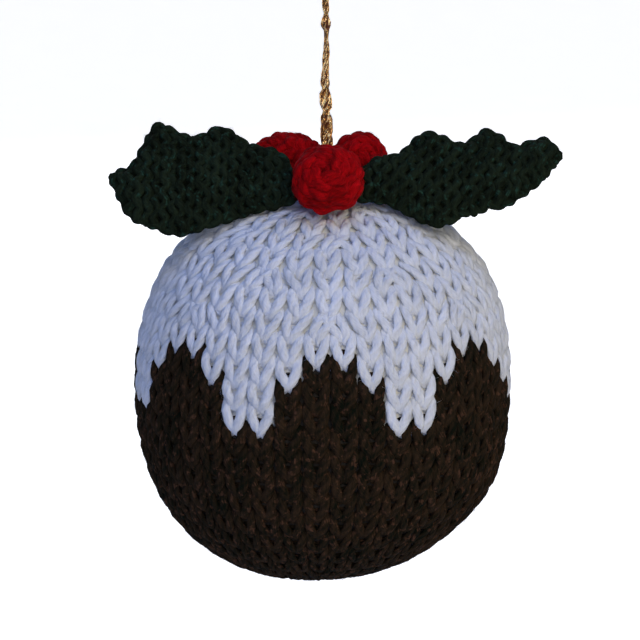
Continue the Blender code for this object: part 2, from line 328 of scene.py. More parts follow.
def new_group(name, inputs, outputs):
    """An empty node group with named sockets: (name, kind, value) in, (name, kind) out."""
    tree = bpy.data.node_groups.new(name, "ShaderNodeTree")
    for label, kind, value in inputs:
        socket = tree.interface.new_socket(label, in_out="INPUT", socket_type="NodeSocket" + kind)
        if value is not None:
            socket.default_value = value
    for label, kind in outputs:
        tree.interface.new_socket(label, in_out="OUTPUT", socket_type="NodeSocket" + kind)
    return tree, tree.nodes.new("NodeGroupInput").outputs, tree.nodes.new("NodeGroupOutput")


def use_group(tree, group, feeds):
    """Place a node group in a material."""
    made = tree.nodes.new("ShaderNodeGroup")
    made.node_tree = group
    feed(tree, made, feeds)
    return made.outputs


def ramp(tree, factor, low, high):
    """A number that rises from 0 to 1 as the factor goes from low to high."""
    return put(tree, "MapRange", {0: factor, 1: low, 2: high, 3: 0.0, 4: 1.0},
               interpolation_type="SMOOTHSTEP").outputs[0]


def new_finish(name):
    """An empty material, its nodes and its shader."""
    made = bpy.data.materials.new(name)
    made.use_nodes = True
    return made, made.node_tree, made.node_tree.nodes["Principled BSDF"]


# %% The fibres group
def fibres_group():
    """Fine hairs along a strand, from 0 to 1."""
    tree, given, out = new_group(
        "fibres",
        [("Yarn Map", "Vector", None), ("Hairs Round", "Float", 9.0),
         ("Hair Length", "Float", 0.004)],
        [("Hairs", "Float")])
    parts = put(tree, "SeparateXYZ", {0: given["Yarn Map"]}).outputs
    stretched = reckon(tree, "DIVIDE", parts[0], given["Hair Length"])
    askew = reckon(tree, "MULTIPLY_ADD", stretched, 0.22, parts[1])
    circle = reckon(tree, "MULTIPLY", askew, 2 * math.pi)
    east = reckon(tree, "COSINE", circle)
    north = reckon(tree, "SINE", circle)
    scale = reckon(tree, "MULTIPLY", given["Hairs Round"], 0.16)
    east = reckon(tree, "MULTIPLY", east, scale)
    north = reckon(tree, "MULTIPLY", north, scale)
    place = put(tree, "CombineXYZ", {0: east, 1: north, 2: stretched}).outputs[0]
    hairs = put(tree, "TexNoise", {"Vector": place, "Scale": 2.2, "Detail": 3.0, "Roughness": 0.6})
    hairs = ramp(tree, hairs.outputs[0], 0.30, 0.70)
    tree.links.new(hairs, out.inputs["Hairs"])
    return tree


# %% The plies group
def plies_group():
    """The grooves between twisted plies: a height that is 1 on a ply and 0 in a groove."""
    tree, given, out = new_group(
        "plies",
        [("Yarn Map", "Vector", None), ("Plies", "Float", 3.0), ("Pitch", "Float", 0.0075)],
        [("Height", "Float")])
    parts = put(tree, "SeparateXYZ", {0: given["Yarn Map"]}).outputs
    wound = reckon(tree, "DIVIDE", parts[0], given["Pitch"])
    place = reckon(tree, "SUBTRACT", parts[1], wound)
    place = reckon(tree, "MULTIPLY", place, given["Plies"])
    angle = reckon(tree, "MULTIPLY", place, 2 * math.pi)
    wave = reckon(tree, "COSINE", angle)
    height = ramp(tree, wave, -1.0, 0.4)
    tree.links.new(height, out.inputs["Height"])
    return tree


# %% The wool colour group
def wool_colour_group():
    """Mixes a wool's shades by its hairs, stitch tone and dye, with painted shade in ply grooves.
    """
    tree, given, out = new_group(
        "wool_colour",
        [("Dark", "Color", (0, 0, 0, 1)), ("Light", "Color", (1, 1, 1, 1)),
         ("Stray", "Color", (1, 1, 1, 1)), ("Stray Share", "Float", 0.0),
         ("Hairs", "Float", 0.5), ("Ply Height", "Float", 1.0), ("Tone", "Float", 0.5),
         ("Painted Groove Shade", "Float", 0.4)],
        [("Colour", "Color"), ("Height", "Float")])
    where = put(tree, "TexCoord").outputs["Object"]
    dye = put(tree, "TexNoise", {"Vector": where, "Scale": 230.0, "Detail": 3.0}).outputs[0]
    dye = ramp(tree, dye, 0.32, 0.68)
    shade = reckon(tree, "MULTIPLY", given["Hairs"], 0.4)
    shade = reckon(tree, "MULTIPLY_ADD", given["Tone"], 0.25, shade)
    shade = reckon(tree, "MULTIPLY_ADD", dye, 0.35, shade)
    # Painted shade: the colour darkens in the grooves between the plies, where shade would fall.
    painted_groove_shade = reckon(tree, "SUBTRACT", 1.0, given["Ply Height"])
    painted_groove_shade = reckon(tree, "MULTIPLY", painted_groove_shade, given["Painted Groove Shade"])
    shade = reckon(tree, "SUBTRACT", shade, painted_groove_shade, use_clamp=True)
    colour = blend(tree, shade, given["Dark"], given["Light"])
    specks = put(tree, "TexNoise", {"Vector": where, "Scale": 900.0, "Detail": 2.0}).outputs[0]
    specks = ramp(tree, specks, 0.56, 0.66)
    specks = reckon(tree, "MULTIPLY", specks, given["Hairs"])
    specks = reckon(tree, "MULTIPLY", specks, given["Stray Share"])
    colour = blend(tree, specks, colour, given["Stray"])
    fluff = put(tree, "TexNoise", {"Vector": where, "Scale": 2400.0, "Detail": 3.0}).outputs[0]
    height = reckon(tree, "MULTIPLY_ADD", given["Hairs"], 0.45, given["Ply Height"])
    height = reckon(tree, "MULTIPLY_ADD", fluff, 1.6, height)
    feed(tree, out, {"Colour": colour, "Height": height})
    return tree


FIBRES = fibres_group()
PLIES = plies_group()
WOOL_COLOUR = wool_colour_group()


# %% The wool material
def wool(name, dark, light, stray, stray_share, sheen, sheen_tint, groove, relief):
    """A wool finish in its own colours, with painted shade in the grooves between its plies."""
    made, tree, shader = new_finish(name)
    yarn_map = put(tree, "UVMap", uv_map="yarn").outputs[0]
    tone = put(tree, "Attribute", attribute_name="tone").outputs["Fac"]
    hairs = use_group(tree, FIBRES, {"Yarn Map": yarn_map})["Hairs"]
    ply = use_group(tree, PLIES, {"Yarn Map": yarn_map})["Height"]
    mixed = use_group(tree, WOOL_COLOUR, {
        "Dark": (*dark, 1), "Light": (*light, 1), "Stray": (*stray, 1), "Stray Share": stray_share,
        "Hairs": hairs, "Ply Height": ply, "Tone": tone, "Painted Groove Shade": groove})
    bump = put(tree, "Bump", {"Strength": 0.8, "Distance": relief, "Height": mixed["Height"]})
    feed(tree, shader, {
        "Base Color": mixed["Colour"], "Normal": bump.outputs[0], "Roughness": 0.92,
        "Specular IOR Level": 0.05, "Sheen Weight": sheen, "Sheen Roughness": 0.55,
        "Sheen Tint": (*sheen_tint, 1)})
    return made


# groove is how strongly painted shade darkens the grooves between the plies.
white_wool = wool("white_wool", (0.70, 0.70, 0.68), (0.93, 0.93, 0.92), (0.90, 0.89, 0.84), 0.2,
                  0.05, (0.9, 0.95, 1.0), groove=0.05, relief=0.00013)
brown_wool = wool("brown_wool", (0.0031, 0.0052, 0.0025), (0.0455, 0.0249, 0.0119),
                  (0.150, 0.066, 0.036), 0.6, 0.0, (0.6, 0.5, 0.45), groove=0.25, relief=0.00017)
green_wool = wool("green_wool", (0.0034, 0.0052, 0.0026), (0.0185, 0.0300, 0.0150),
                  (0.026, 0.078, 0.050), 0.6, 0.0, (0.5, 0.7, 0.6), groove=0.20, relief=0.00014)
red_wool = wool("red_wool", (0.19, 0.0009, 0.0013), (0.60, 0.0028, 0.0056),
                (0.70, 0.008, 0.012), 0.3, 0.02, (1.0, 0.3, 0.3), groove=0.2, relief=0.00016)

# %% [markdown]
# ## The gold cord
#
# The cord is three thin metallic tapes twisted together, with darker folds between them whose
# darkness is partly painted shade.  It is limp and thin, and it hangs taut because it carries
# the ball.  It leaves the top of the ball between the berries, runs up to a small knot, and
# opens above it into the loop that goes over a twig.
# Its line repeats the route of the CAD cord.  A plain round tube would look like wire, so the
# tapes are drawn one by one: they lie tight against each other in some places and stand apart
# in others, which gives the cord its uneven, glinting outline.

# %% The cord's route
CORD_RADIUS = 0.0008
CORD_STEP = 0.0006              # between the points of its line
CORD_ROUTE = (
    (0.0009, -0.0016, 0.0371), (0.0009, -0.0015, 0.0430), (0.0007, -0.0010, 0.0500),
    (0.0005, -0.0004, 0.0570), (0.0007, 0.0000, 0.0640), (0.0006, 0.0000, 0.0700),
    (0.0004, 0.0000, 0.0736), (0.0003, 0.0000, 0.0755),
)
LOOP_SIDE = ((0.0008, 0.0020), (0.0026, 0.0050), (0.0040, 0.0086), (0.0026, 0.0121))
knot_low, knot_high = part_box("cord_knot")
knot_middle = (Vector(knot_low) + Vector(knot_high)) / 2
loop_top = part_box("cord_loop")[1][2] - CORD_RADIUS

cord_knots = [np.array(ball_middle) + np.array(point) for point in CORD_ROUTE]
cord_knots[-1] = np.array(knot_middle)
left_side = [np.array(knot_middle) + np.array((-out, 0.0, up)) for out, up in LOOP_SIDE]
right_side = [np.array(knot_middle) + np.array((out, 0.0, up)) for out, up in LOOP_SIDE]
cord_knots += left_side + [np.array((0.0, 0.0, loop_top))] + right_side[::-1] + [cord_knots[-1]]
cord_path = even_points(smooth_line(cord_knots, 12), CORD_STEP)

# %% [markdown]
# ## Gold tape
#
# The tape is crumpled foil, coloured in patches along its length.  The nearly white patches
# are a painted highlight, the orange-gold is the foil's own colour, and the dark brown is partly
# the brown thread under the foil and partly painted shade in its folds.


# %% The gold material
def gold_material(name):
    """Crumpled foil in patches: pale is a painted highlight, brown is thread and painted fold
    shade.
    """
    made, tree, shader = new_finish(name)
    yarn_map = put(tree, "UVMap", uv_map="yarn").outputs[0]
    patches = use_group(tree, FIBRES, {"Yarn Map": yarn_map, "Hairs Round": 3.5,
                                       "Hair Length": 0.0030})["Hairs"]
    fine = use_group(tree, FIBRES, {"Yarn Map": yarn_map, "Hairs Round": 16.0,
                                    "Hair Length": 0.0016})["Hairs"]
    foil = ramp(tree, patches, 0.38, 0.56)
    # Painted highlight: the palest patches stand for glints of light on the foil.
    pale = ramp(tree, patches, 0.50, 0.80)
    # The dark brown is partly the brown thread and partly painted shade in the folds.
    gold = blend(tree, foil, (0.15, 0.038, 0.005, 1), (1.0, 0.52, 0.14, 1))
    colour = blend(tree, pale, gold, (1.0, 0.84, 0.52, 1))
    rough = put(tree, "MapRange", {0: foil, 3: 0.40, 4: 0.14}).outputs[0]
    metal = put(tree, "MapRange", {0: foil, 3: 0.30, 4: 1.0}).outputs[0]
    height = reckon(tree, "MULTIPLY_ADD", fine, 0.5, patches)
    bump = put(tree, "Bump", {"Strength": 1.0, "Distance": 0.00038, "Height": height})
    feed(tree, shader, {"Base Color": colour, "Roughness": rough, "Metallic": metal,
                        "Normal": bump.outputs[0]})
    return made


gold_thread = gold_material("gold_thread")


# %% Twist the tapes
def frame_along(path):
    """Two directions square to the path at each point, carried along it without twisting."""
    along = unit(np.gradient(path, axis=0))
    side = np.zeros_like(path)
    side[0] = unit(np.cross(along[0], [0.0, 1.0, 0.0]))
    for k in range(1, len(path)):
        side[k] = unit(side[k - 1] - along[k] * np.dot(side[k - 1], along[k]))
    return side, np.cross(along, side)


def twist_tapes(skein, path, reach, turn, wide, tapes=3, thick=0.7, sides=9):
    """Wind the tapes round the path; reach is how far each stands off it, turn its angle."""
    side, other = frame_along(path)
    for tape in range(tapes):
        angle = turn + 2 * math.pi * tape / tapes
        away = side * np.cos(angle)[:, None] + other * np.sin(angle)[:, None]
        skein.add(path + away * reach[:, None], away, wide * (1.0 - 0.08 * tape), sides=sides,
                  plies=2, swell=0.05, flat=thick, pitch=0.0052, turn=2.0 * tape, tone=0.5)


# The cord is slack near the ball and firm further up.  Where it is pinched, or one tape curls
# out, it is narrower or wider over a short stretch: height, share of change, length.
CORD_SLACK, CORD_FIRM, LOOP_HALF_WIDTH = 0.00120, 0.00070, 0.00066
CORD_TWIST = 0.0105             # the tapes go once round in this length
CORD_FIRMS_BETWEEN = (0.0545, 0.0585)
CORD_SPOTS = ((0.0512, -0.52, 0.00055), (0.0554, -0.42, 0.00055), (0.0648, -0.36, 0.0019),
              (0.0674, 0.62, 0.00075), (0.0691, -0.40, 0.0005))
path_up = cord_path[:, 2] - ball_middle[2]
rising = np.arange(len(cord_path)) < np.argmax(path_up >= CORD_ROUTE[-1][2])
cord_half = np.interp(path_up, CORD_FIRMS_BETWEEN, (CORD_SLACK, CORD_FIRM))
for height, change, stretch in CORD_SPOTS:
    cord_half *= 1.0 + change * np.exp(-((path_up - height) / stretch) ** 2)
cord_half = np.where(rising, cord_half, LOOP_HALF_WIDTH)
cord_turn = np.cumsum(np.full(len(cord_path), CORD_STEP)) * 2 * math.pi / CORD_TWIST
cord_skein = Skein()
twist_tapes(cord_skein, cord_path, cord_half * 0.58, cord_turn, cord_half * 0.64)
gold_cord = cord_skein.make("gold_cord", gold_thread)

# %% The knot under the loop
turns = np.linspace(0.0, 2 * math.pi, 97)[:-1]
tied = np.column_stack([np.sin(turns) + 2 * np.sin(2 * turns),
                        np.cos(turns) - 2 * np.cos(2 * turns), -1.3 * np.sin(3 * turns)]) / 3.0
knot_half = (Vector(knot_high) - Vector(knot_low)) / 2
tied = tied * (np.array(knot_half) - CORD_RADIUS * 0.8)
knot_skein = Skein()
knot_skein.add(tied + np.array(knot_middle), unit(tied + 1e-9), CORD_RADIUS * 0.85, sides=10,
               closed=True, plies=2, swell=0.16, pitch=0.004, flat=0.8)
gold_knot = knot_skein.make("gold_knot", gold_thread)

# %% Fix the cord to the frame
def fix(piece, slot, *nodes):
    """The piece rides on the frame and stands for its nodes, which are hidden; the slot is not
    used.
    """
    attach(piece, "root")
    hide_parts(*nodes)


fix(gold_cord, "gold_thread", "cord", "cord_loop")
fix(gold_knot, "gold_thread", "cord_knot")

# %% [markdown]
# ## The ball as a sheet of knitting
#
# Knitting is measured in columns of stitches, called wales, and in rows.  On this ball a
# wale follows a line from pole to pole and a row goes round at one height, so any point of
# the knitting is an azimuth, a distance along the pole-to-pole line, and a depth into the
# fabric.  A table of that line turns these into a place and the direction outward.
#
# Nobody stuffs a ball evenly.  The filling pushes this one out by up to a millimetre low on
# the left and high on the right, and a little at two more places.


# %% The ball's own measure
# Where the filling is fuller: degrees from the top towards the right, height, degrees wide.
STUFFING = ((54, 0.00084, 22), (119, 0.00080, 13), (214, 0.00108, 31), (312, 0.00030, 20))


def ball_table(steps=1440):
    """The pole-to-pole line: distance from the widest part, width, height and its normal."""
    tilts = np.linspace(-math.pi / 2, math.pi / 2, steps + 1)
    power = 2.0 / BALL_FULLNESS
    out = BALL_RADIUS * np.abs(np.cos(tilts)) ** power
    up = BALL_HALF_HEIGHT * np.sign(tilts) * np.abs(np.sin(tilts)) ** power
    out[0] = out[-1] = 0.0
    travelled = np.concatenate([[0.0], np.cumsum(np.hypot(np.diff(out), np.diff(up)))])
    even = np.linspace(0.0, travelled[-1], 361)
    out, up = np.interp(even, travelled, out), np.interp(even, travelled, up)
    slope = unit(np.column_stack([np.gradient(up), -np.gradient(out)]))
    slope[0], slope[-1] = (0.0, -1.0), (0.0, 1.0)
    return even - travelled[-1] / 2, out, up, slope


WALK, WALK_OUT, WALK_UP, WALK_SLOPE = ball_table()
TO_POLE = float(WALK[-1])


def stuffed_out(points):
    """Points round the ball's middle, pushed out where the filling is fuller."""
    size = np.linalg.norm(points, axis=1)
    sideways = (np.hypot(points[:, 0], points[:, 2]) / np.maximum(size, 1e-9)) ** 2
    angle = np.arctan2(points[:, 0], points[:, 2])
    push = np.zeros(len(points))
    for at, height, spread in STUFFING:
        gap = (angle - math.radians(at) + math.pi) % (2 * math.pi) - math.pi
        push += height * np.exp(-(gap / math.radians(spread)) ** 2)
    return points * (1.0 + sideways * push / BALL_RADIUS)[:, None]


def ball_places(azimuth, walk, depth):
    """Points on the ball, and the directions outward, for arrays of knitting coordinates."""
    out = np.interp(walk, WALK, WALK_OUT)
    up = np.interp(walk, WALK, WALK_UP)
    slope_out = np.interp(walk, WALK, WALK_SLOPE[:, 0])
    slope_up = np.interp(walk, WALK, WALK_SLOPE[:, 1])
    east, front = np.sin(azimuth), -np.cos(azimuth)
    wide = out + depth * slope_out
    points = np.column_stack([wide * east, wide * front, up + depth * slope_up])
    outward = unit(np.column_stack([slope_out * east, slope_out * front, slope_up]))
    return stuffed_out(points) + np.array(ball_middle), outward


def walk_at_height(height):
    """The distance from the widest part to a height above the ball's middle."""
    return float(np.interp(height, WALK_UP, WALK))


print("from the widest part to a pole", round(TO_POLE * 1000, 1), "mm")

# %% [markdown]
# ## Where the stitches go
#
# Forty-two stitches go round the widest part.  Towards each pole the knitter takes seven
# stitches out of a round at a time, one in each repeat of the drips, and both loops of a
# pair taken together then lean into the one stitch above them.  The rows are numbered up and
# down from the shortest of the white columns.

# %% The plan of the rows
STITCHES_ROUND = 42
REPEATS = 7
ROW_HEIGHT = 0.0044
ICING_TIP_HEIGHT = 0.0102
ICING_DRIPS = (3, 3, 1, 0, 0, 1)
SHORTER_WALES = (12,)          # one drip, on the right, lacks the last stitch of a wale
DRIP_AZIMUTH = math.radians(-23.4)
YARN_RADIUS = 0.00096
STITCH_TIP = 0.0009            # how far the foot of a stitch swells below its row
REPEAT = 2 * math.pi / REPEATS
FIRST_WALK = walk_at_height(ICING_TIP_HEIGHT)


def evenly(count, shift=0.0):
    """Places of this many stitches in one repeat, as shares of the repeat."""
    return [(k + 0.5) / count - 0.5 + shift for k in range(count)]


ROW_PLANS = {row: evenly(6) for row in range(-11, 2)}
ROW_PLANS |= {2: evenly(5, 0.1), 3: evenly(5, 0.1), 4: evenly(4, 0.125), 5: evenly(4, 0.125)}
ROW_PLANS |= {6: evenly(3), 7: evenly(3), 8: evenly(2), 9: evenly(2), 10: evenly(1)}
ROW_PLANS |= {-12: evenly(5, 0.1), -13: evenly(4, 0.125), -14: evenly(3), -15: evenly(2)}


def row_azimuths(row):
    """The azimuth of every stitch of a row, in order round the ball."""
    shares = ROW_PLANS[row]
    return np.array([DRIP_AZIMUTH + (repeat + share) * REPEAT
                     for repeat in range(REPEATS) for share in shares])


def is_white(row, azimuth):
    """Whether a stitch of this row is worked in white."""
    if row >= 0:
        return True
    place = round((azimuth - DRIP_AZIMUTH) / (REPEAT / 6) + 0.5)
    shorter = 1 if place % STITCHES_ROUND in SHORTER_WALES else 0
    return ICING_DRIPS[place % 6] - shorter >= -row


rows_low, rows_high = min(ROW_PLANS), max(ROW_PLANS)
print("stitches", sum(len(row_azimuths(row)) for row in ROW_PLANS),
      "rows", rows_low, "to", rows_high)

# %% [markdown]
# ## One stitch
#
# A stitch of stocking stitch is a loop.  The yarn runs behind, comes out between the legs of
# the stitch below, rises as the left leg, goes back through the stitch above, turns over at
# the top, and comes down as the right leg.  From the front only the two legs show, as a V.
# The right leg crosses over the left one at the foot of the V.
#
# The loop's knots are given as shares of a wale across, shares of a row up, and yarn radii
# out from the middle of the fabric.

# %% The loop of a stitch
STITCH_LOOP = (
    (-0.50, -0.04, -1.05), (-0.33, -0.10, -1.10), (-0.16, -0.07, -0.86), (-0.075, 0.08, -0.10),
    (-0.165, 0.34, 0.38), (-0.262, 0.60, 0.55), (-0.325, 0.88, 0.45), (-0.345, 1.12, 0.00),
    (-0.31, 1.32, -0.62), (-0.18, 1.46, -1.02), (0.00, 1.50, -1.12), (0.18, 1.46, -1.02),
    (0.31, 1.32, -0.62), (0.345, 1.12, 0.04), (0.318, 0.88, 0.50), (0.252, 0.60, 0.60),
    (0.152, 0.34, 0.48), (0.060, 0.08, 0.10), (0.10, -0.07, -0.70), (0.23, -0.11, -1.02),
    (0.38, -0.08, -1.10),
)
LOOP_STEPS = 22
YARN_FLAT = 0.66               # soft yarn is pressed flat in the fabric
DEPTH_SHARE = 0.80
FABRIC_MIDDLE = -1.10 * YARN_RADIUS      # so that the legs come up to the ball's own surface


def ease(share):
    """A smooth step from 0 to 1."""
    share = np.clip(share, 0.0, 1.0)
    return share * share * (3.0 - 2.0 * share)


def row_strands(row, dice):
    """The runs of one colour in a row: (white, closed, azimuth, walk, depth, radius, tone)."""
    azimuths = row_azimuths(row)
    number = len(azimuths)
    above = row_azimuths(row + 1) if row + 1 in ROW_PLANS else azimuths
    start = FIRST_WALK + STITCH_TIP + row * ROW_HEIGHT
    white = [is_white(row, a) for a in azimuths]
    stitches = []
    for k, centre in enumerate(azimuths):
        gaps = (above - centre + math.pi) % (2 * math.pi) - math.pi
        lean = gaps[np.argmin(np.abs(gaps - 1e-4))]
        rivals = np.abs((azimuths - (centre + lean) + math.pi) % (2 * math.pi) - math.pi)
        merged = np.sum(rivals <= abs(lean) + 1e-6) > 1 and abs(lean) > 1e-6
        before = (centre - azimuths[k - 1]) % (2 * math.pi)
        after = (azimuths[(k + 1) % number] - centre) % (2 * math.pi)
        top_wale = (2 * math.pi / len(above)) * (0.62 if merged else 1.0)
        loop = np.array(STITCH_LOOP)
        loop[1:, 0] += 0.018 * dice.normal(size=len(loop) - 1)
        loop[1:, 1] += 0.014 * dice.normal(size=len(loop) - 1)
        loop[:, 2] += 0.06 * dice.normal(size=len(loop))
        rise = ease((loop[:, 1] - 0.15) / 1.15)
        side = np.where(loop[:, 0] < 0, before, after)
        wale = side * (1 - rise) + top_wale * rise
        walk = start + loop[:, 1] * ROW_HEIGHT
        stitches.append(np.column_stack([
            centre + lean * rise + loop[:, 0] * wale, walk, loop[:, 2],
            np.full(len(loop), dice.uniform(0.0, 1.0))]))
    runs = []
    if all(white) or not any(white):
        runs.append((white[0], True, list(range(number))))
    else:
        first = next(k for k in range(number) if white[k] != white[k - 1])
        order = [(first + k) % number for k in range(number)]
        run = [order[0]]
        for k in order[1:]:
            if white[k] == white[run[-1]]:
                run.append(k)
            else:
                runs.append((white[run[0]], False, run))
                run = [k]
        runs.append((white[run[0]], False, run))
    strands = []
    for colour, closed, run in runs:
        knots = [stitches[run[0]]]
        for k in run[1:]:
            piece = stitches[k].copy()
            behind = (knots[-1][0, 0] - piece[0, 0]) / (2 * math.pi)
            piece[:, 0] += 2 * math.pi * round(behind + 0.02)
            knots.append(piece)
        knots = np.vstack(knots)
        strands.append((colour, closed, run, knots))
    return strands


def knit_row(row, skeins, dice):
    """Add every strand of a row to the skein of its colour."""
    for colour, closed, run, knots in row_strands(row, dice):
        if not closed:
            last = knots[-1].copy()
            last[0] += 0.3 * (knots[-1, 0] - knots[-len(STITCH_LOOP), 0]) + 0.012
            last[2] = -1.6
            first = knots[0].copy()
            first[0] -= 0.012
            first[2] = -1.6
            knots = np.vstack([first, knots, last])
            fine = smooth_line(knots, 4)
        else:
            around = 2 * math.pi
            wrapped = np.vstack([knots[-1:] - [around, 0, 0, 0], knots,
                                 knots[:2] + [around, 0, 0, 0]])
            fine = smooth_line(wrapped, 4)[4:-4 - 1]
        wale = 2 * math.pi / len(row_azimuths(row)) * np.interp(fine[:, 1], WALK, WALK_OUT)
        radius = np.clip(wale * 0.182, 0.6 * YARN_RADIUS, 1.10 * YARN_RADIUS)
        depth = FABRIC_MIDDLE + fine[:, 2] * radius * DEPTH_SHARE
        points, outward = ball_places(fine[:, 0], fine[:, 1], depth)
        front = np.clip(fine[:, 2] + 0.4, 0.0, 1.0)
        whole = np.column_stack([points, outward, radius, fine[:, 3], front])
        per_stitch = line_length(points) / len(run)
        whole = even_points(whole, per_stitch / LOOP_STEPS, closed)
        skeins[colour].add(whole[:, :3], unit(whole[:, 3:6]), whole[:, 6], closed=closed,
                           flat=YARN_FLAT, tone=whole[:, 7], turn=dice.uniform(0, 6.28),
                           hairy=whole[:, 8] * whole[:, 6] / YARN_RADIUS)


# %% [markdown]
# ## Knit the ball
#
# The white rows make one piece.  The brown rows make two, so that neither mesh is too big to
# handle.  Behind them goes the stuffed core: it carries the ball's shape and is what one sees
# through the small holes between the stitches.

# %% Knit the rows
dice = np.random.default_rng(20)
white_skein, brown_upper_skein, brown_lower_skein = Skein(), Skein(), Skein()
for row in sorted(ROW_PLANS):
    knit_row(row, {True: white_skein, False: brown_upper_skein if row >= -8 else brown_lower_skein},
             dice)
icing_knit = white_skein.make("icing_knit", white_wool)
pudding_knit_upper = brown_upper_skein.make("pudding_knit_upper", brown_wool)
pudding_knit_lower = brown_lower_skein.make("pudding_knit_lower", brown_wool)
BALL_FIBRE = 0.0017
icing_fuzz = white_skein.make_fuzz("icing_fuzz", white_wool, 6500, BALL_FIBRE, dice)
pudding_fuzz_upper = brown_upper_skein.make_fuzz("pudding_fuzz_upper", brown_wool, 4500,
                                                 BALL_FIBRE, dice)
pudding_fuzz_lower = brown_lower_skein.make_fuzz("pudding_fuzz_lower", brown_wool, 2500,
                                                 BALL_FIBRE, dice)


# %% The stuffed core
def core_material():
    """The inside of the fabric, seen through the holes: grey-white above and brown below."""
    made, tree, shader = new_finish("stuffed_core")
    where = put(tree, "TexCoord").outputs["Object"]
    fluff = put(tree, "TexNoise", {"Vector": where, "Scale": 700.0, "Detail": 4.0}).outputs[0]
    white = put(tree, "Attribute", attribute_name="white").outputs["Fac"]
    pale = blend(tree, fluff, (0.74, 0.71, 0.59, 1), (0.92, 0.89, 0.78, 1))
    dark = blend(tree, fluff, (0.002, 0.0015, 0.001, 1), (0.010, 0.007, 0.004, 1))
    colour = blend(tree, white, dark, pale)
    bump = put(tree, "Bump", {"Strength": 0.6, "Distance": 0.0004, "Height": fluff})
    feed(tree, shader, {"Base Color": colour, "Normal": bump.outputs[0], "Roughness": 0.95})
    return made


def core_form(name, finish, depth, rounds=168, rows=96):
    """A closed ball a little inside the knitting, marked where it lies under the white."""
    walks = np.linspace(-TO_POLE, TO_POLE, rows + 1)[1:-1]
    azimuths = 2 * math.pi * (np.arange(rounds) + 0.5) / rounds + DRIP_AZIMUTH
    grid_walk, grid_azimuth = [a.ravel() for a in np.meshgrid(walks, azimuths, indexing="ij")]
    points, _ = ball_places(grid_azimuth, grid_walk, depth)
    poles, _ = ball_places(np.zeros(2), np.array([-TO_POLE, TO_POLE]), depth)
    white = []
    for walk, azimuth in zip(grid_walk, grid_azimuth):
        row = math.floor((walk - FIRST_WALK - STITCH_TIP) / ROW_HEIGHT - 0.35)
        white.append(1.0 if is_white(row, azimuth) else 0.0)
    faces = []
    for row in range(len(walks) - 1):
        for k in range(rounds):
            a, b = row * rounds + k, row * rounds + (k + 1) % rounds
            faces.append((a, b, b + rounds, a + rounds))
    low, high, last = len(points), len(points) + 1, (len(walks) - 1) * rounds
    for k in range(rounds):
        faces.append((low, (k + 1) % rounds, k))
        faces.append((high, last + k, last + (k + 1) % rounds))
    return mesh_object(name, np.vstack([points, poles]), faces, finish, white=white + [0.0, 1.0])


stuffed_core = core_form("stuffed_core", core_material(), -1.55 * YARN_RADIUS)

# %% Fix the ball's pieces to the frame
for piece in (icing_knit, icing_fuzz):
    fix(piece, "white_wool", "icing")
for piece in (pudding_knit_upper, pudding_knit_lower, pudding_fuzz_upper, pudding_fuzz_lower,
              stuffed_core):
    fix(piece, "brown_wool", "pudding")

# %% [markdown]
# ## The holly leaves
#
# The leaves are knitted in garter stitch, where every row turns and both faces show ridges of
# small bumps.  A ridge is a strand that winds from side to side and in and out.  Here each
# strand goes right round the leaf, up the front and down the back, so the bumpy edge and the
# prickles come from the places where the strands turn.  Each winds opposite to its
# neighbour, and where two meet, one goes over and the other under.
#
# The leaf's outline is given along its rib, as a height above and a depth below it.  Inside
# goes a thin pad of the same wool, so that no light comes through between the strands.

# %% The leaves' outlines
LEAF_LEAN = math.radians(34.0)
LEAF_THICKNESS = 0.0030
LEAF_BASE_FORWARD = 0.0086
LEAF_BASE_HEIGHT = 0.0391
LEAF_SWEEP = 0.13
LEAF_DIP = 0.029
LEAF_CROWN = 0.0012
LEAF_YARN = 0.00082
LEAF_EDGE_YARN = 0.00072
LEAF_ROW = 0.00158
LEAF_BUMP = 0.0031
LEAF_SETTLE = 0.0004

LEAVES = {
    "leaf_left": (-1, 0.0044, (
        (0.0000, 0.0005), (0.0020, 0.0060), (0.0044, 0.0076), (0.0083, 0.0085), (0.0113, 0.0106),
        (0.0144, 0.0123), (0.0174, 0.0109), (0.0195, 0.0103), (0.0217, 0.0110), (0.0261, 0.0131),
        (0.0284, 0.0097), (0.0309, 0.0046), (0.0329, 0.0038), (0.0342, 0.0029), (0.0348, 0.0018),
    ), (
        (0.0000, -0.0031), (0.0038, -0.0045), (0.0071, -0.0052), (0.0133, -0.0073),
        (0.0202, -0.0096), (0.0233, -0.0097), (0.0275, -0.0081), (0.0304, -0.0068),
        (0.0322, -0.0048), (0.0339, -0.0011), (0.0346, 0.0004), (0.0348, 0.0012),
    )),
    "leaf_right": (1, 0.0060, (
        (0.0000, 0.0010), (0.0015, 0.0042), (0.0038, 0.0060), (0.0080, 0.0068), (0.0102, 0.0092),
        (0.0127, 0.0112), (0.0156, 0.0106), (0.0192, 0.0088), (0.0210, 0.0096), (0.0232, 0.0114),
        (0.0245, 0.0117), (0.0266, 0.0108), (0.0292, 0.0086), (0.0305, 0.0086), (0.0320, 0.0094),
        (0.0348, 0.0100), (0.0359, 0.0099), (0.0372, 0.0084), (0.0381, 0.0067),
    ), (
        (0.0000, -0.0032), (0.0039, -0.0034), (0.0062, -0.0038), (0.0088, -0.0055),
        (0.0125, -0.0075), (0.0152, -0.0081), (0.0175, -0.0075), (0.0206, -0.0058),
        (0.0231, -0.0053), (0.0251, -0.0042), (0.0269, -0.0047), (0.0307, -0.0022),
        (0.0340, 0.0005), (0.0359, 0.0026), (0.0377, 0.0053), (0.0381, 0.0061),
    )),
}
LEAF_UP = np.array((0.0, math.sin(LEAF_LEAN), math.cos(LEAF_LEAN)))
LEAF_FACING = np.array((0.0, -math.cos(LEAF_LEAN), math.sin(LEAF_LEAN)))


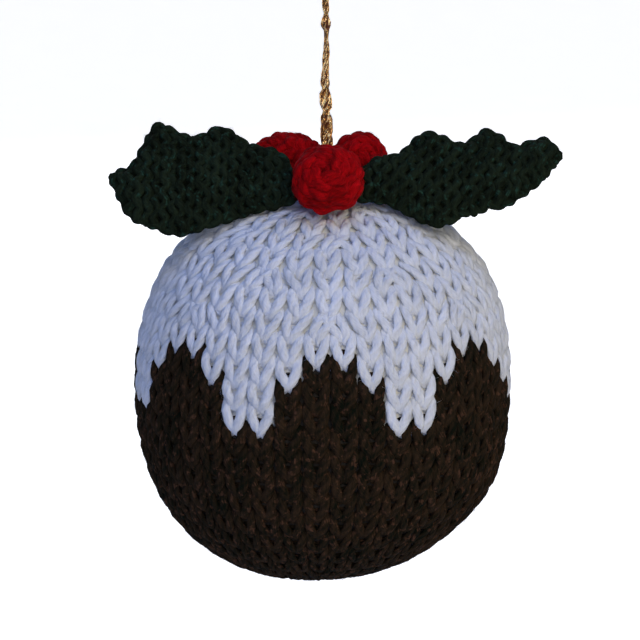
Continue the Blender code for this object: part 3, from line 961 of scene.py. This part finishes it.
# %% Knit a leaf
def leaf_places(side, base, along, height, depth):
    """Points of a leaf from their distance along the rib, height over it and depth in front."""
    rib = np.column_stack([side * (base + along), LEAF_SWEEP * along - LEAF_BASE_FORWARD,
                           LEAF_BASE_HEIGHT - LEAF_DIP * along])
    return (rib + (height[:, None] - LEAF_SETTLE) * LEAF_UP + depth[:, None] * LEAF_FACING
            + np.array(ball_middle))


def leaf_bulge(along, across, length):
    """How far the middle of the leaf stands forward."""
    fullness = np.clip(np.minimum(along, length - along) / 0.005, 0.0, 1.0)
    return LEAF_CROWN * (1.0 - across ** 2) * fullness


def knit_leaf(name, dice):
    """The strands of one leaf, each going once round it."""
    side, base, upper, lower = LEAVES[name]
    upper, lower = smooth_line(upper, 8), smooth_line(lower, 8)
    length = float(upper[-1, 0])
    rows = round((length - 2 * LEAF_YARN) / LEAF_ROW)
    skein = Skein()
    for row in range(rows + 1):
        middle = LEAF_YARN + (length - 2 * LEAF_YARN) * row / rows
        reach = middle + LEAF_ROW * np.array((-0.6, 0.0, 0.6))
        high = np.interp(reach, upper[:, 0], upper[:, 1]).min() - LEAF_YARN * 1.30
        low = np.interp(reach, lower[:, 0], lower[:, 1]).max() + LEAF_YARN * 1.05
        if high - low < 0.0006:
            high = low = (high + low) / 2
            high, low = high + 0.0003, low - 0.0003
        tall = (high - low) / 2
        angle = np.linspace(0.0, 2 * math.pi, 241)[:-1]
        across = np.sign(np.sin(angle)) * np.abs(np.sin(angle)) ** 0.75
        front = np.sign(np.cos(angle)) * np.abs(np.cos(angle)) ** 0.45
        thin = min(1.0, 0.55 + 0.45 * min(middle, length - middle) / 0.005)
        deep = (LEAF_THICKNESS / 2 - LEAF_YARN * 0.75) * thin
        outline = np.column_stack([across * tall, front * deep])
        steps = np.linalg.norm(np.diff(outline, axis=0, append=outline[:1]), axis=1)
        travelled = np.concatenate([[0.0], np.cumsum(steps)[:-1]])
        waves = max(2, round(steps.sum() / LEAF_BUMP))
        phase = 2 * math.pi * waves * travelled / steps.sum() + math.pi * row + dice.normal() * 0.7
        wander = 0.00046 * np.sin(phase) + 0.00018 * np.sin(3 * angle + dice.uniform(0, 6.28))
        lift = (0.00019 * np.cos(phase) + 0.00008 * dice.normal()
                + 0.00014 * np.sin(5 * angle + dice.uniform(0, 6.28)))
        edge_room = np.clip(np.minimum(middle, length - middle) / 0.0016, 0.25, 1.0)
        along = middle + wander * edge_room
        facing = unit(np.column_stack([across * deep / max(tall, deep), front]))
        height = (high + low) / 2 + across * tall + facing[:, 0] * lift
        depth = front * deep + facing[:, 1] * lift + leaf_bulge(along, across, length)
        points = leaf_places(side, base, along, height, depth)
        outward = facing[:, :1] * LEAF_UP + facing[:, 1:] * LEAF_FACING
        yarn = LEAF_YARN * (1.0 + 0.06 * dice.normal())
        whole = even_points(np.column_stack([points, outward]), 0.00045, closed=True)
        if side < 0:
            whole = whole[::-1]
        skein.add(whole[:, :3], unit(whole[:, 3:]), yarn, sides=10, closed=True, plies=3,
                  swell=0.07, pitch=0.006, tone=dice.uniform(0.0, 1.0), turn=dice.uniform(0, 6.28))
    add_leaf_edge(skein, side, base, upper, lower, dice)
    return [skein.make(name + "_knit", green_wool),
            skein.make_fuzz(name + "_fuzz", green_wool, 1300, 0.0015, dice)]


def add_leaf_edge(skein, side, base, upper, lower, dice):
    """The strand that runs round the leaf's edge, with a small bump at every row's turn."""
    rim = np.vstack([upper, lower[::-1]])[:, :2]
    rim = even_points(rim, 0.0004, closed=True)
    along = np.roll(rim, -3, 0) - np.roll(rim, 3, 0)
    inward = unit(np.column_stack([along[:, 1], -along[:, 0]]))
    rim = rim + inward * LEAF_EDGE_YARN * 1.15
    for _ in range(5):
        rim = (np.roll(rim, 1, 0) + 2 * rim + np.roll(rim, -1, 0)) / 4
    steps = np.linalg.norm(np.diff(rim, axis=0, append=rim[:1]), axis=1)
    travelled = np.concatenate([[0.0], np.cumsum(steps)[:-1]])
    waves = round(steps.sum() / 0.0029)
    phase = 2 * math.pi * waves * travelled / steps.sum()
    rim = rim + inward * (0.00020 * np.sin(phase))[:, None]
    depth = 0.00034 * np.cos(phase) + 0.00015 * np.sin(phase * 0.31 + 1.0)
    points = leaf_places(side, base, rim[:, 0], rim[:, 1], depth)
    outward = np.tile(LEAF_FACING, (len(points), 1))
    whole = even_points(np.column_stack([points, outward]), 0.00042, closed=True)
    skein.add(whole[:, :3], whole[:, 3:], LEAF_EDGE_YARN, sides=10, closed=True, plies=3,
              swell=0.08, pitch=0.006, tone=0.5, turn=dice.uniform(0, 6.28))


def leaf_pad(name):
    """The thin closed pad inside a leaf."""
    side, base, upper, lower = LEAVES[name]
    upper, lower = smooth_line(upper, 8), smooth_line(lower, 8)
    length = float(upper[-1, 0])
    stations, strips = 40, 10
    front, back = [], []
    for station in range(stations + 1):
        along = LEAF_YARN + (length - 2 * LEAF_YARN) * station / stations
        high = float(np.interp(along, upper[:, 0], upper[:, 1])) - LEAF_YARN
        low = float(np.interp(along, lower[:, 0], lower[:, 1])) + LEAF_YARN
        if high < low:
            high = low = (high + low) / 2
        high, low = high + 0.0001, low - 0.0001
        across = np.linspace(-1.0, 1.0, strips + 1)
        height = (high + low) / 2 + across * (high - low) / 2
        thick = 0.00015 + 0.00055 * np.sqrt(1.0 - across ** 2)
        bulge = leaf_bulge(np.full(strips + 1, along), across, length)
        for points, depth in ((front, bulge + thick), (back, bulge - thick)):
            points += leaf_places(side, base, np.full(strips + 1, along), height, depth).tolist()
    count = len(front)
    faces = []
    for i in range(stations):
        for k in range(strips):
            a = i * (strips + 1) + k
            quad = (a, a + strips + 1, a + strips + 2, a + 1)
            faces.append(quad if side > 0 else quad[::-1])
            faces.append(tuple(v + count for v in faces[-1][::-1]))
    rim = [k for k in range(strips)]
    rim += [i * (strips + 1) + strips for i in range(stations)]
    rim += [stations * (strips + 1) + k for k in range(strips, 0, -1)]
    rim += [i * (strips + 1) for i in range(stations, 0, -1)]
    for a, b in zip(rim, rim[1:] + rim[:1]):
        wall = (a, b, b + count, a + count)
        faces.append(wall if side > 0 else wall[::-1])
    made = mesh_object(name + "_pad", front + back, faces, green_wool)
    made.data.uv_layers.new(name="yarn")
    return made


dice = np.random.default_rng(7)
for name in LEAVES:
    for piece in knit_leaf(name, dice) + [leaf_pad(name)]:
        fix(piece, "green_wool", name)

# %% [markdown]
# ## The berries
#
# Each berry is a small ball of red wool.  The yarn is wound round it in a spiral, and every
# turn is caught down at short steps, so it rises and dips.  The spiral's end makes a small
# hollow that doesn't face the same way on any two of them.
#
# The front berry sits down on the ball, so it is broad below, and it is drawn to a blunt point
# where it is sewn on.

# %% Wind the berries
BERRY_YARN = 0.00110
BERRY_FLAT = 0.72
BERRY_ROW = 0.00158
BERRY_STEP = 0.0030
BERRIES = {
    "berry_front": ((0.0010, -0.0133, 0.0415), (0.0067, 0.0064, 0.0060), (-0.18, -0.85, 0.49)),
    "berry_rear_left": ((-0.0065, 0.0030, 0.0403), (0.0078, 0.0062, 0.0065), (-0.55, -0.60, 0.58)),
    "berry_rear_right": ((0.0068, 0.0032, 0.0412), (0.0056, 0.0056, 0.0056), (0.40, -0.75, 0.52)),
}


SEWN_DOWN = {"berry_front": (0.9, (-0.0015, -0.0002, -0.0010))}


def berry_reach(name, away):
    """How far a berry's skin is from its middle, as a share of its half sizes, and its pull."""
    square, pull = SEWN_DOWN.get(name, (0.0, (0.0, 0.0, 0.0)))
    power = 2.0 + square * np.clip(-2.5 * away[:, 2:], 0.0, 1.0)
    share = (np.abs(away) ** power).sum(axis=1, keepdims=True) ** (-1.0 / power)
    near = np.exp(-((away - np.array((0.0, -0.35, -0.94))) ** 2).sum(axis=1, keepdims=True) / 0.12)
    return share, near * np.array(pull)


def wind_berry(name, dice):
    """A spiral of yarn over the whole of a berry."""
    middle, half_sizes, axis = (np.array(part) for part in BERRIES[name])
    axis = unit(axis)
    east = unit(np.cross(axis, [0.0, 0.0, 1.0]))
    north = np.cross(axis, east)
    size = float(half_sizes.mean()) - BERRY_YARN
    rounds = math.pi * size / BERRY_ROW
    steps = 2400
    share = np.linspace(0.035, 0.985, steps)
    polar = math.pi * share
    turn = 2 * math.pi * rounds * share
    length = np.cumsum(np.hypot(np.gradient(polar), np.sin(polar) * np.gradient(turn))) * size
    phase = 2 * math.pi * length / BERRY_STEP
    polar = polar + 0.055 * np.sin(phase)
    lift = 0.00022 * np.cos(phase + 0.6) + 0.00012 * np.sin(phase * 0.37 + 1.0)
    away = (np.cos(polar)[:, None] * axis + (np.sin(polar) * np.cos(turn))[:, None] * east
            + (np.sin(polar) * np.sin(turn))[:, None] * north)
    dip = 0.0009 * np.exp(-(polar / 0.30) ** 2)
    share, pulled = berry_reach(name, away)
    points = away * share * (half_sizes - BERRY_YARN * BERRY_FLAT - 0.0002 + (lift - dip)[:, None])
    points = points + pulled + middle + np.array(ball_middle)
    tone = 0.5 + 0.5 * np.sin(phase * 0.23 + dice.uniform(0, 6.28))
    whole = even_points(np.column_stack([points, away, tone]), 0.00040)
    skein = Skein()
    skein.add(whole[:, :3], unit(whole[:, 3:6]), BERRY_YARN, sides=10, plies=3, swell=0.05,
              flat=BERRY_FLAT, pitch=0.0065, tone=whole[:, 6])
    return skein


def berry_core(name):
    """The closed ball of wool under the winding."""
    middle, half_sizes, _ = (np.array(part) for part in BERRIES[name])
    rings, rounds = 16, 24
    points, faces = [], []
    for ring in range(1, rings):
        polar = math.pi * ring / rings
        for k in range(rounds):
            turn = 2 * math.pi * k / rounds
            away = np.array((math.sin(polar) * math.cos(turn), math.sin(polar) * math.sin(turn),
                             math.cos(polar)))
            points.append(away)
    points = np.array(points + [np.array((0.0, 0.0, 1.0)), np.array((0.0, 0.0, -1.0))])
    share, pulled = berry_reach(name, points)
    points = points * share * (half_sizes - 0.0012) + pulled + middle + np.array(ball_middle)
    for ring in range(rings - 2):
        for k in range(rounds):
            a, b = ring * rounds + k, ring * rounds + (k + 1) % rounds
            faces.append((a, a + rounds, b + rounds, b))
    top, bottom, last = len(points) - 2, len(points) - 1, (rings - 2) * rounds
    for k in range(rounds):
        faces.append((top, k, (k + 1) % rounds))
        faces.append((bottom, last + (k + 1) % rounds, last + k))
    made = mesh_object(name + "_core", points, faces, red_wool)
    made.data.uv_layers.new(name="yarn")
    return made


dice = np.random.default_rng(5)
for name in BERRIES:
    winding = wind_berry(name, dice)
    wound = winding.make(name + "_wool", red_wool)
    fuzz = winding.make_fuzz(name + "_fuzz", red_wool, 1000, 0.0015, dice)
    for piece in (wound, fuzz, berry_core(name)):
        fix(piece, "red_wool", name)

# %% [markdown]
# ## The studio
#
# The ornament hangs over a plain white floor.  A large warm lamp stands in front on the right
# and above it.  Smaller blue lamps fill in from the top, the front and the left, so the white
# wool turns bluish where the warm light doesn't reach.  A pale lamp lights the back.
#
# Foil is a mirror, so the world it reflects matters.  It is bright only in front, which
# gives the cord pale middles and dark edges.


# %% Floor
FLOOR_GLOW = 0.95
FLOOR_GLOW_ON_THINGS = 0.06


def floor_material():
    """Plain white card, which can't be seen from below."""
    made, tree, shader = new_finish("floor_card")
    where = put(tree, "TexCoord").outputs["Object"]
    grain = put(tree, "TexNoise", {"Vector": where, "Scale": 60.0, "Detail": 2.0}).outputs[0]
    colour = blend(tree, grain, (0.84, 0.84, 0.84, 1), (0.88, 0.88, 0.88, 1))
    seen = put(tree, "LightPath").outputs["Is Camera Ray"]
    glow = reckon(tree, "MULTIPLY_ADD", seen, FLOOR_GLOW, FLOOR_GLOW_ON_THINGS)
    feed(tree, shader, {"Base Color": colour, "Emission Color": colour,
                        "Emission Strength": glow, "Roughness": 0.9})
    below = put(tree, "NewGeometry").outputs["Backfacing"]
    clear = put(tree, "BsdfTransparent").outputs[0]
    mix = put(tree, "MixShader", {0: below, 1: shader.outputs[0], 2: clear})
    tree.links.new(mix.outputs[0], tree.nodes["Material Output"].inputs[0])
    return made


FLOOR_HEIGHT = -0.30
FLOOR_HALF = 12.0
FLOOR_CORNERS = ((-1, -1), (1, -1), (1, 1), (-1, 1))
floor = mesh_object("floor", [(FLOOR_HALF * x, FLOOR_HALF * y, FLOOR_HEIGHT)
                              for x, y in FLOOR_CORNERS], [(0, 1, 2, 3)], floor_material())


# %% Lights and the world
def soft_lamp(name, place, size, power, colour):
    """A large square lamp that faces the ball and can't be seen itself."""
    data = bpy.data.lights.new(name, "AREA")
    data.shape = "SQUARE"
    data.size = size
    data.energy = power
    data.color = colour
    made = bpy.data.objects.new(name, data)
    made.location = ball_middle + Vector(place)
    made.rotation_euler = (-Vector(place)).to_track_quat("-Z", "Y").to_euler()
    made.visible_camera = False
    bpy.context.scene.collection.objects.link(made)


soft_lamp("key_lamp", (0.60, -1.05, 0.75), 1.60, 11.6, (1.0, 0.885, 0.62))
soft_lamp("top_lamp", (0.15, -0.25, 1.10), 0.90, 4.6, (0.12, 0.31, 1.0))
soft_lamp("front_lamp", (-0.10, -1.20, 0.40), 0.90, 2.6, (0.12, 0.31, 1.0))
soft_lamp("left_lamp", (-0.95, -0.55, 0.25), 0.80, 1.0, (0.12, 0.31, 1.0))
soft_lamp("back_lamp", (-0.35, 1.15, 0.35), 0.90, 5.0, (0.90, 0.93, 1.0))

world = bpy.data.worlds.new("studio")
bpy.context.scene.world = world
world.use_nodes = True
tree = world.node_tree
backdrop = tree.nodes["Background"]
backdrop.inputs[0].default_value = (1.0, 1.0, 1.0, 1.0)
backdrop.inputs[1].default_value = 1.0
around = put(tree, "Background", {0: (0.50, 0.65, 1.0, 1.0), 1: 0.12})
forward = put(tree, "TexCoord").outputs["Generated"]
forward = put(tree, "SeparateXYZ", {0: forward}).outputs[1]
window = put(tree, "MapRange", {0: forward, 1: -0.35, 2: -0.95, 3: 0.04, 4: 3.4}).outputs[0]
mirrored = put(tree, "Background", {0: (1.0, 0.86, 0.62, 1.0), 1: window})
ray = put(tree, "LightPath").outputs
lit = put(tree, "MixShader", {0: ray["Is Glossy Ray"], 1: around.outputs[0],
                              2: mirrored.outputs[0]})
mix = put(tree, "MixShader", {0: ray["Is Camera Ray"], 1: lit.outputs[0], 2: backdrop.outputs[0]})
tree.links.new(mix.outputs[0], tree.nodes["World Output"].inputs[0])
bpy.context.scene.view_settings.view_transform = "Standard"
